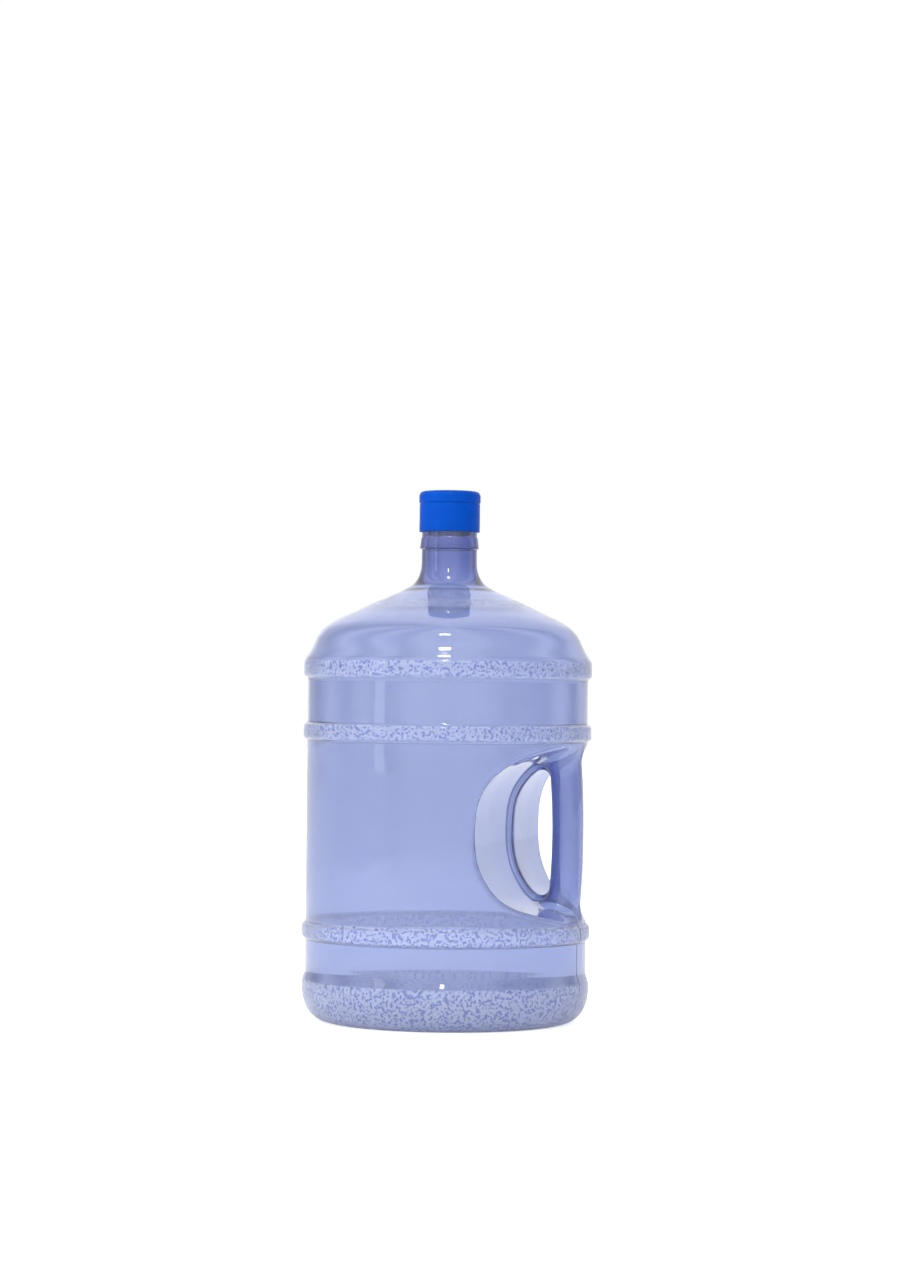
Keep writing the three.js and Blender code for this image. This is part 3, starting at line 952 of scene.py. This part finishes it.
@dataclass
class Bottle:
    """The blow-moulded bottle, which stands for all the bottle's zones in the frame."""

    shape: BottleShell = field(default_factory=BottleShell)
    finish: TintedPolycarbonate = field(default_factory=TintedPolycarbonate)

    def build(self) -> Object:
        """Builds the wall and dresses it.

        Returns:
            The bottle.
        """
        shell = ShellMesh()
        angles = self.shape.columns()
        middle = np.append(angles, angles[0] + 2 * math.pi)
        middle = (middle[1:] + middle[:-1]) / 2
        profiles = self.shape.profiles()
        ends: list[Points] = []
        for offset, rib, outside, flip, foot, top in (
            (0.0, 1.0, 1.0, False, "foot", "top"),
            (self.shape.wall, 0.8, 0.0, True, "inner_foot", "inner_top"),
        ):
            vertices, normals, faces, low_ring, high_ring = self.shape.net(offset, rib)
            first = shell.add(vertices, -normals if flip else normals, outside)
            for face in faces:
                numbers = tuple(first + n for n in face)
                shell.faces.append(numbers[::-1] if flip else numbers)
            shell.turn(profiles[foot], middle, outside, not flip, first + low_ring)
            ends.append(shell.turn(profiles[top], middle, outside, flip, first + high_ring))
        shell.bridge(ends[0], ends[1], False)
        bottle = shell.to_object("bottle_shell", self.finish.build())
        log.info("bottle_shell: %d vertices, %d faces", shell.count, len(shell.faces))
        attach(bottle, Body.BOTTLE.value)
        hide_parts(*frame["record"]["behaviour"]["bodies"][Body.BOTTLE.value])
        return bottle


# ---- Rule-made pieces ----


def node_group(name: str, sizes: dict[str, str]) -> tuple[NodeTree, Node]:
    """Starts a Geometry Nodes tree.

    Args:
        name: The tree's name.
        sizes: Each input after the geometry, by name, with its socket type.

    Returns:
        The tree and its input node.
    """
    tree = bpy.data.node_groups.new(name, "GeometryNodeTree")
    tree.interface.new_socket("Geometry", in_out="INPUT", socket_type="NodeSocketGeometry")
    for label, kind in sizes.items():
        tree.interface.new_socket(label, in_out="INPUT", socket_type=kind)
    tree.interface.new_socket("Geometry", in_out="OUTPUT", socket_type="NodeSocketGeometry")
    return tree, tree.nodes.new("NodeGroupInput")


def finish_group(tree: NodeTree, geometry: NodeSocket, material: NodeSocket) -> None:
    """Ends a Geometry Nodes tree with Realize Instances and Set Material."""
    real = add(tree, "GeometryNodeRealizeInstances", inputs={0: geometry})
    dressed = add(tree, "GeometryNodeSetMaterial", inputs={"Geometry": real.outputs[0], "Material": material})
    add(tree, "NodeGroupOutput", inputs={0: dressed.outputs[0]})


def turned_tree() -> NodeTree:
    """Makes the tree that turns a profile round the Z axis.

    The profile is the object's own mesh: a row of points at radius X and height Z.

    Returns:
        The tree, with the inputs Segments and Finish.
    """
    tree, given = node_group("turned_piece", {"Segments": "NodeSocketInt", "Finish": "NodeSocketMaterial"})
    profile = given.outputs["Geometry"]
    count = add(tree, "GeometryNodeAttributeDomainSize", inputs={0: profile}).outputs["Point Count"]
    round_count = math_node(tree, "ADD", given.outputs["Segments"], 1.0)
    grid = add(
        tree, "GeometryNodeMeshGrid",
        inputs={"Size X": 1.0, "Size Y": 1.0, "Vertices X": count, "Vertices Y": round_count},
    )
    index = add(tree, "GeometryNodeInputIndex").outputs[0]
    row = math_node(tree, "FLOOR", math_node(tree, "DIVIDE", math_node(tree, "ADD", index, 0.5), round_count))
    column = math_node(tree, "SUBTRACT", index, math_node(tree, "MULTIPLY", row, round_count))
    share = math_node(tree, "DIVIDE", column, given.outputs["Segments"])
    angle = math_node(tree, "MULTIPLY", share, 2 * math.pi)
    place = add(tree, "GeometryNodeInputPosition").outputs[0]
    sample = add(
        tree, "GeometryNodeSampleIndex", {"data_type": "FLOAT_VECTOR", "clamp": True},
        {"Geometry": profile, "Value": place, "Index": row},
    )
    parts = add(tree, "ShaderNodeSeparateXYZ", inputs={0: sample.outputs["Value"]}).outputs
    x = math_node(tree, "MULTIPLY", parts["X"], math_node(tree, "COSINE", angle))
    y = math_node(tree, "MULTIPLY", parts["X"], math_node(tree, "SINE", angle))
    spot = add(tree, "ShaderNodeCombineXYZ", inputs={0: x, 1: y, 2: parts["Z"]}).outputs[0]
    moved = add(tree, "GeometryNodeSetPosition", inputs={"Geometry": grid.outputs["Mesh"], "Position": spot})
    merge_distance = 0.004 * MM
    merged = add(
        tree, "GeometryNodeMergeByDistance", inputs={"Geometry": moved.outputs[0], "Distance": merge_distance}
    )
    smooth = add(tree, "GeometryNodeSetShadeSmooth", inputs={0: merged.outputs[0]})
    finish_group(tree, smooth.outputs[0], given.outputs["Finish"])
    return tree


def ribs_tree() -> NodeTree:
    """Makes the tree that sets a column of small ribs on a curved face.

    Returns:
        The tree, with the inputs Count, Pitch, Radius, Angle, Bottom, Rib Size and Finish.
    """
    tree, given = node_group(
        "rib_column",
        {
            "Count": "NodeSocketInt", "Pitch": "NodeSocketFloat", "Radius": "NodeSocketFloat",
            "Angle": "NodeSocketFloat", "Bottom": "NodeSocketFloat", "Rib Size": "NodeSocketVector",
            "Finish": "NodeSocketMaterial",
        },
    )
    line = add(tree, "GeometryNodeMeshLine", {"mode": "OFFSET"}, {"Count": given.outputs["Count"]})
    index = add(tree, "GeometryNodeInputIndex").outputs[0]
    angle = given.outputs["Angle"]
    x = math_node(tree, "MULTIPLY", given.outputs["Radius"], math_node(tree, "COSINE", angle))
    y = math_node(tree, "MULTIPLY", given.outputs["Radius"], math_node(tree, "SINE", angle))
    z = math_node(tree, "MULTIPLY_ADD", index, given.outputs["Pitch"], given.outputs["Bottom"])
    spot = add(tree, "ShaderNodeCombineXYZ", inputs={0: x, 1: y, 2: z}).outputs[0]
    moved = add(tree, "GeometryNodeSetPosition", inputs={"Geometry": line.outputs[0], "Position": spot})
    rib = add(
        tree, "GeometryNodeMeshCube",
        inputs={"Size": given.outputs["Rib Size"], "Vertices X": 2, "Vertices Y": 2, "Vertices Z": 2},
    )
    turn = add(tree, "ShaderNodeCombineXYZ", inputs={2: angle}).outputs[0]
    spread = add(
        tree, "GeometryNodeInstanceOnPoints",
        inputs={"Points": moved.outputs[0], "Instance": rib.outputs["Mesh"], "Rotation": turn},
    )
    finish_group(tree, spread.outputs[0], given.outputs["Finish"])
    return tree


def plain_mesh(piece: Object) -> Object:
    """Replaces an object's mesh by its evaluated result and removes its modifiers.

    Args:
        piece: The object.

    Returns:
        The same object, with faces that point outwards.
    """
    bpy.context.view_layer.update()
    graph = bpy.context.evaluated_depsgraph_get()
    mesh = bpy.data.meshes.new_from_object(
        piece.evaluated_get(graph), preserve_all_data_layers=True, depsgraph=graph
    )
    piece.modifiers.clear()
    old = piece.data
    piece.data = mesh
    bpy.data.meshes.remove(old)
    mesh.name = piece.name
    work = bmesh.new()
    work.from_mesh(mesh)
    if work.calc_volume(signed=True) < 0:
        bmesh.ops.reverse_faces(work, faces=work.faces)
        work.to_mesh(mesh)
    work.free()
    return piece


def new_piece(name: str, points: Points, edges: list[tuple[int, int]]) -> Object:
    """Makes an object from points in millimetres and the edges between them."""
    mesh = bpy.data.meshes.new(name)
    mesh.from_pydata((np.asarray(points, float) * MM).tolist(), edges, [])
    return link_object(name, mesh)


def drive(piece: Object, tree: NodeTree, values: dict[str, object]) -> None:
    """Puts a Geometry Nodes tree on an object.

    Args:
        piece: The object.
        tree: The tree.
        values: A value for each of the tree's named inputs.
    """
    modifier = piece.modifiers.new(tree.name, "NODES")
    modifier.node_group = tree
    for item in tree.interface.items_tree:
        if item.in_out == "INPUT" and item.name in values:
            modifier[item.identifier] = values[item.name]


@dataclass
class Turner:
    """Turns rounded profiles into finished pieces."""

    segments: int = 96
    fillet_step: float = 0.12
    tree: NodeTree = field(default_factory=turned_tree)

    def turn(self, name: str, corners: list[tuple[float, float, float]], finish: Material) -> Object:
        """Turns one profile.

        Args:
            name: The piece's name.
            corners: The profile's corners as radius, height and fillet, closed or ending on the axis.
            finish: The piece's material.

        Returns:
            The piece, still with its modifiers.
        """
        outline = rounded(corners, self.fillet_step)
        points = np.stack([outline[:, 0], np.zeros(len(outline)), outline[:, 1]], 1)
        piece = new_piece(name, points, [(i, i + 1) for i in range(len(points) - 1)])
        drive(piece, self.tree, {"Segments": self.segments, "Finish": finish})
        weighted = piece.modifiers.new("weighted", "WEIGHTED_NORMAL")
        weighted.weight = 90
        return piece


# ---- The cap ----


@dataclass
class Cap:
    """The push-on cap with its tear tab, foam liner, valve plug and peel-off seal, sized in millimetres."""

    radius: float = 28.3
    rim_radius: float = 28.8
    top: float = 496.0
    groove: float = 484.4
    rim_face: float = 22.6
    plate_top: float = 494.4
    plate_under: float = 492.5
    skirt_low: float = 457.8
    skirt_in: float = 27.3
    sleeve: tuple[float, float, float] = (19.7, 21.0, 453.0)
    tube: tuple[float, float, float] = (12.0, 13.3, 457.4)
    tab_half_angle: float = 0.26
    tab_top: float = 470.0
    tab_clearance: float = 0.45
    blue: MouldedPlastic = MouldedPlastic(
        # The cap is low-density polyethylene: strong blue, satin, a little waxy where light enters it.
        "polyethylene_ld_injection_moulded_blue", "004cb6", "0041a3", 0.36, 0.04, 0.8,
    )
    milky: MouldedPlastic = MouldedPlastic(
        # The plug is natural polyethylene, so it is milky and lets light in.
        "polyethylene_ld_natural", "e4ecf6", "d5e0ee", 0.38, 0.5, 2.0,
    )
    foam: ClosedCellFoam = ClosedCellFoam()
    film: LaminatedFilm = LaminatedFilm()

    def tab_block(
        self, name: str, inner: float, outer: float, low: float, high: float, half: float
    ) -> Object:
        """Makes a closed sector of a ring, on the side away from the handle.

        Args:
            name: The object's name.
            inner: Inner radius.
            outer: Outer radius.
            low: Lower height.
            high: Upper height.
            half: Half the angle that it spans, in radians.

        Returns:
            The object.
        """
        steps = 16
        mesh = bmesh.new()
        rings = []
        for radius, height in ((inner, low), (outer, low), (outer, high), (inner, high)):
            ring = []
            for i in range(steps + 1):
                angle = math.pi - half + 2 * half * i / steps
                spot = Vector((radius * math.cos(angle), radius * math.sin(angle), height)) * MM
                ring.append(mesh.verts.new(spot))
            rings.append(ring)
        for ring, after in zip(rings, rings[1:] + rings[:1]):
            for i in range(steps):
                mesh.faces.new((ring[i], ring[i + 1], after[i + 1], after[i]))
        mesh.faces.new([ring[0] for ring in rings])
        mesh.faces.new([ring[-1] for ring in reversed(rings)])
        return object_from(name, mesh)

    def shell(self, turner: Turner, finish: Material) -> Object:
        """Builds the skirt, top, rim, sealing sleeve and valve tube in one, with the tear tab's slot."""
        s_in, s_out, s_low = self.sleeve
        t_in, t_out, t_low = self.tube
        under = self.plate_under
        corners = [
            (24.2, under, 0), (self.skirt_in, under, 0.4), (self.skirt_in, self.skirt_low + 1.0, 0.4),
            (self.skirt_in + 0.35, self.skirt_low, 0.2), (self.radius, self.skirt_low, 0.35),
            (self.radius, self.groove - 0.8, 0.3), (self.radius - 0.4, self.groove - 0.2, 0.2),
            (self.radius - 0.4, self.groove + 0.3, 0.2), (self.rim_radius, self.groove + 1.0, 0.5),
            (self.rim_radius, self.top - 4.0, 2.2), (self.rim_radius - 1.5, self.top - 1.1, 2.2),
            (self.rim_radius - 4.4, self.top, 1.4), (self.rim_face, self.top, 0.6),
            (self.rim_face, self.plate_top, 0.5), (t_in + 0.8, self.plate_top, 0.4),
            (t_in, self.plate_top - 1.0, 0.4), (t_in, t_low, 0.3), (t_out, t_low, 0.3), (t_out, under, 0.5),
            (s_in, under, 0.5), (s_in, s_low, 0.25), (s_out - 0.6, s_low, 0.25), (s_out, s_low + 2.0, 0.5),
            (s_out, under, 0.5), (24.2, under, 0),
        ]
        shell = turner.turn("cap_shell_fine", corners, finish)
        past = 2
        slot = self.tab_block(
            "slot", self.skirt_in - past, self.rim_radius + past, self.skirt_low - past,
            self.tab_top + self.tab_clearance, self.tab_half_angle + self.tab_clearance / self.radius,
        )
        cut = shell.modifiers.new("slot", "BOOLEAN")
        cut.operation = "DIFFERENCE"
        cut.solver = "EXACT"
        cut.object = slot
        plain_mesh(shell)
        bpy.data.objects.remove(slot)
        return shell

    def tear_tab(self, finish: Material) -> list[Object]:
        """Builds the tear tab and the ribs that a finger grips it by."""
        tab = self.tab_block(
            "cap_tear_tab_fine", self.skirt_in, self.radius, self.skirt_low, self.tab_top, self.tab_half_angle
        )
        tab.data.materials.append(finish)
        bevel = tab.modifiers.new("edges", "BEVEL")
        bevel.width = 0.25 * MM
        bevel.segments = 3
        bevel.limit_method = "ANGLE"
        bevel.angle_limit = math.radians(40)
        plain_mesh(tab)
        tab.data.shade_smooth()
        tab.data.set_sharp_from_angle(angle=math.radians(40))
        ribs = new_piece("cap_tear_tab_ribs", np.zeros((1, 3)), [])
        drive(
            ribs, ribs_tree(),
            {
                "Count": 5, "Pitch": 1.7 * MM, "Radius": (self.radius + 0.08) * MM, "Angle": math.pi,
                "Bottom": (self.skirt_low + 1.6) * MM, "Rib Size": (0.7 * MM, 8.4 * MM, 0.7 * MM),
                "Finish": finish,
            },
        )
        soften = ribs.modifiers.new("edges", "BEVEL")
        soften.width = 0.22 * MM
        soften.segments = 3
        plain_mesh(ribs)
        ribs.data.shade_smooth()
        return [tab, ribs]

    def plug(self, turner: Turner, finish: Material) -> Object:
        """Builds the cup-shaped plug of the valve, with its flange."""
        corners = [
            (0.0, 452.4, 0), (13.2, 452.4, 0.8), (13.2, 457.0, 0.3), (11.6, 457.0, 0.4), (11.6, 469.4, 0.5),
            (10.4, 469.4, 0.3), (10.4, 454.8, 0.8), (0.0, 454.8, 0),
        ]
        return plain_mesh(turner.turn("valve_plug_fine", corners, finish))

    def liner(self, turner: Turner, finish: Material) -> Object:
        """Builds the foam ring that the lip seals against."""
        corners = [
            (24.0, 490.3, 0), (26.9, 490.3, 0.3), (26.9, 492.2, 0.3), (21.6, 492.2, 0.3), (21.6, 490.3, 0.3),
            (24.0, 490.3, 0),
        ]
        return plain_mesh(turner.turn("cap_foam_liner_fine", corners, finish))

    def seal(self, turner: Turner, finish: Material) -> list[Object]:
        """Builds the peel-off disc over the valve and the pull tab folded back on it."""
        low = self.plate_top + 0.3
        corners = [(0.0, low, 0), (20.6, low, 0.12), (20.6, low + 0.5, 0.2), (0.0, low + 0.5, 0)]
        disc = plain_mesh(turner.turn("hygiene_seal_fine", corners, finish))
        tab = bmesh.new()
        outline = []
        steps, half, middle, end = 24, 5.5, 9.0, 19.6
        for i in range(steps + 1):
            angle = math.pi / 2 + math.pi * i / steps
            outline.append((middle + half * math.cos(angle), half * math.sin(angle)))
        outline += [(end, -half), (end, half)]
        # The tab lies just over the disc and curls up a little towards its round end.
        lift, thickness, curl, curl_from = low + 0.56, 0.3, 0.01, 14
        top, bottom = (
            [tab.verts.new(Vector((x, y, level + curl * max(0.0, curl_from - x))) * MM) for x, y in outline]
            for level in (lift + thickness, lift)
        )
        tab.faces.new(top)
        tab.faces.new(bottom[::-1])
        for i, vertex in enumerate(top):
            j = (i + 1) % len(top)
            tab.faces.new((bottom[i], bottom[j], top[j], vertex))
        pull = object_from("hygiene_seal_pull_tab", tab)
        pull.data.materials.append(finish)
        return [disc, pull]

    def build(self) -> None:
        """Builds the cap's pieces and fixes each to its body."""
        turner = Turner()
        blue = self.blue.build()
        tab, ribs = self.tear_tab(blue)
        disc, pull = self.seal(turner, self.film.build())
        rows = [
            (self.shell(turner, blue), Body.CAP, "cap_shell", Slot.CAP_PLASTIC),
            (tab, Body.TEAR_TAB, "cap_tear_tab", Slot.CAP_PLASTIC),
            (ribs, Body.TEAR_TAB, None, Slot.CAP_PLASTIC),
            (self.liner(turner, self.foam.build()), Body.CAP, "cap_foam_liner", Slot.FOAM),
            (self.plug(turner, self.milky.build()), Body.PLUG, "valve_plug", Slot.VALVE_PLASTIC),
            (disc, Body.CAP, "hygiene_seal", Slot.SEAL_FILM),
            (pull, Body.CAP, None, Slot.SEAL_FILM),
        ]
        for piece, body, node, slot in rows:
            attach(piece, body.value)
            if node:
                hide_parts(node)
            log.info("%s: %d faces, rides on %s", piece.name, len(piece.data.polygons), body.value)


# ---- The studio ----


@dataclass
class Studio:
    """A white sweep under soft boxes, with the camera in front of the jug at a third of its height."""

    axis_azimuth: float = 16.0
    distance: float = 3.2
    eye: float = 0.3097
    pitch: float = 0.84
    roll: float = 0.6
    lens: float = 96.0
    jug_middle: float = 0.25
    floor_half: float = 14.0
    floor_seen: float = 0.50
    floor_gathered: float = 0.22
    upward_levels: tuple[float, float] = (1.14, 1.42)
    wall_levels: tuple[tuple[float, float], ...] = (
        (-180, 0.90), (-151, 1.0), (-128, 0.40), (-106, 1.0), (-88, 0.38), (-70, 0.95), (-48, 0.35),
        (-30, 0.62), (-15, 1.0), (0, 1.0), (9, 1.0), (24, 0.82), (42, 0.84), (56, 0.35), (74, 1.0),
        (96, 0.35), (125, 0.45), (148, 0.9), (164, 1.0), (180, 0.90),
    )

    def sweep(self) -> None:
        """Lays the white floor."""
        mesh = bpy.data.meshes.new("studio_floor")
        half = self.floor_half
        mesh.from_pydata(
            [(-half, -half, 0), (half, -half, 0), (half, half, 0), (-half, half, 0)], [], [(0, 1, 2, 3)]
        )
        material, tree = blank_material("acrylic_sheet_opal_lit_from_below")
        place = add(tree, "ShaderNodeTexCoord").outputs["Object"]
        tone = add(tree, "ShaderNodeTexNoise", inputs={"Vector": place, "Scale": 3.0, "Detail": 2.0})
        # The floor is white to look at. What the jug gathers of it is dimmer, so its walls keep their depth.
        direct = add(tree, "ShaderNodeLightPath").outputs["Is Camera Ray"]
        finish_material(
            tree,
            {
                "Base Color": blend(tree, tone.outputs[0], "e3e5ea", "e9ebef"),
                "Roughness": 0.85,
                "Specular IOR Level": 0.1,
                "Emission Color": linear("ffffff"),
                "Emission Strength": math_node(
                    tree, "MULTIPLY_ADD", direct, self.floor_seen, self.floor_gathered
                ),
            },
        )
        mesh.materials.append(material)
        floor = link_object("studio_floor", mesh)

    def light(
        self,
        name: str,
        place: tuple[float, float, float],
        size: tuple[float, float],
        power: float,
        glints: bool,
    ) -> None:
        """Hangs a soft box that faces the middle of the jug.

        Args:
            name: The light's name.
            place: Its place in metres.
            size: Its width and height in metres.
            power: Its power in watts.
            glints: Whether it shows as a glint in glossy surfaces.
        """
        data = bpy.data.lights.new(name, "AREA")
        data.shape = "RECTANGLE"
        data.size, data.size_y = size
        data.energy = power
        lamp = link_object(name, data)
        lamp.location = place
        lamp.visible_camera = False
        lamp.visible_transmission = False
        lamp.visible_glossy = glints
        aim = Vector((0, 0, self.jug_middle)) - Vector(place)
        lamp.rotation_euler = aim.to_track_quat("-Z", "Y").to_euler()

    def walls(self, toward: Vector, aside: Vector) -> None:
        """Paints the walls: plain white to look at, and lit in soft upright zones, darker between the lamps.

        Args:
            toward: The direction from the jug to the camera.
            aside: The direction to the camera's right.
        """
        world = bpy.data.worlds.new("studio_white")
        world.use_nodes = True
        tree = world.node_tree
        tree.nodes.clear()
        ray = add(tree, "ShaderNodeTexCoord").outputs["Generated"]
        right = add(tree, "ShaderNodeVectorMath", {"operation": "DOT_PRODUCT"}, {0: ray, 1: tuple(aside)})
        behind = add(tree, "ShaderNodeVectorMath", {"operation": "DOT_PRODUCT"}, {0: ray, 1: tuple(-toward)})
        angle = math_node(tree, "ARCTAN2", right.outputs["Value"], behind.outputs["Value"])
        share = math_node(tree, "MULTIPLY_ADD", angle, 0.5 / math.pi, 0.5)
        ramp = add(tree, "ShaderNodeValToRGB", inputs={0: share})
        ramp.color_ramp.interpolation = "EASE"
        stops = ramp.color_ramp.elements
        stops[0].position, stops[1].position = 0.0, 1.0
        for degrees, _ in self.wall_levels[1:-1]:
            stops.new((degrees + 180) / 360)
        for stop, (_, level) in zip(stops, self.wall_levels):
            stop.color = (level, level, level, 1.0)
        height = add(tree, "ShaderNodeSeparateXYZ", inputs={0: ray}).outputs["Z"]
        upward = map_range(tree, height, (0.0, 0.8), self.upward_levels, smooth=False)
        power = math_node(tree, "MULTIPLY", ramp.outputs[0], upward)
        lit = add(tree, "ShaderNodeBackground", inputs={"Color": linear("fdfdff"), "Strength": power})
        seen = add(tree, "ShaderNodeBackground", inputs={"Color": linear("ffffff"), "Strength": 1.02})
        direct = add(tree, "ShaderNodeLightPath").outputs["Is Camera Ray"]
        mix = add(tree, "ShaderNodeMixShader", inputs={0: direct, 1: lit.outputs[0], 2: seen.outputs[0]})
        add(tree, "ShaderNodeOutputWorld", inputs={"Surface": mix.outputs[0]})
        bpy.context.scene.world = world

    def build(self) -> None:
        """Sets up the floor, lights, world and camera."""
        self.sweep()
        turn = math.radians(self.axis_azimuth)
        toward = Vector((math.sin(turn), -math.cos(turn), 0))
        aside = Vector((math.cos(turn), math.sin(turn), 0))

        def at(forward: float, right: float, up: float) -> tuple[float, float, float]:
            spot = toward * forward + aside * right
            return (spot.x, spot.y, up)

        self.light("softbox_front", at(2.7, -0.12, 1.75), (0.14, 0.5), 9.0, True)
        self.light("softbox_high", at(1.2, -0.1, 2.3), (0.3, 0.22), 5.0, True)
        self.light("softbox_left", at(1.2, -2.2, 1.6), (2.2, 2.4), 31.0, False)
        self.light("softbox_top", at(-0.2, -0.4, 2.8), (2.4, 2.4), 12.0, False)
        self.light("strip_left", at(1.7, -2.5, 1.0), (0.5, 1.7), 4.0, True)
        self.walls(toward, aside)
        scene = bpy.context.scene
        scene.view_settings.view_transform = "Standard"
        scene.cycles.max_bounces = 32
        scene.cycles.transmission_bounces = 32
        scene.cycles.glossy_bounces = 8
        scene.cycles.transparent_max_bounces = 16
        data = bpy.data.cameras.new("camera")
        data.lens = self.lens
        data.clip_end = 60.0
        scene.camera = link_object("camera", data)
        scene.camera.location = toward * self.distance + Vector((0, 0, self.eye))
        pitch = math.radians(self.pitch)
        look = -toward * math.cos(pitch) + Vector((0, 0, math.sin(pitch)))
        scene.camera.rotation_euler = look.to_track_quat("-Z", "Y").to_euler()
        scene.camera.rotation_euler.rotate_axis("Z", math.radians(self.roll))


def main() -> None:
    """Builds the jug around the frame, and the studio around the jug."""
    logging.basicConfig(level=logging.INFO, format="%(name)s: %(message)s")
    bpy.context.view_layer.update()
    Studio().build()
    bottle = Bottle().build()
    log.info("%s rides on %s", bottle.name, Body.BOTTLE.value)
    Cap().build()


with open("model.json") as file:
    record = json.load(file)
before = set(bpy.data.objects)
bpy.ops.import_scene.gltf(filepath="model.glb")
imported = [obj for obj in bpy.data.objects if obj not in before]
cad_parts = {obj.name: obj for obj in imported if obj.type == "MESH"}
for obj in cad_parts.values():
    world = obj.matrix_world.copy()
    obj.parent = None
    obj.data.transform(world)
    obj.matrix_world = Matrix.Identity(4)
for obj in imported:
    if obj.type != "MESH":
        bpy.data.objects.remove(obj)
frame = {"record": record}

if __name__ == "__main__":
    main()
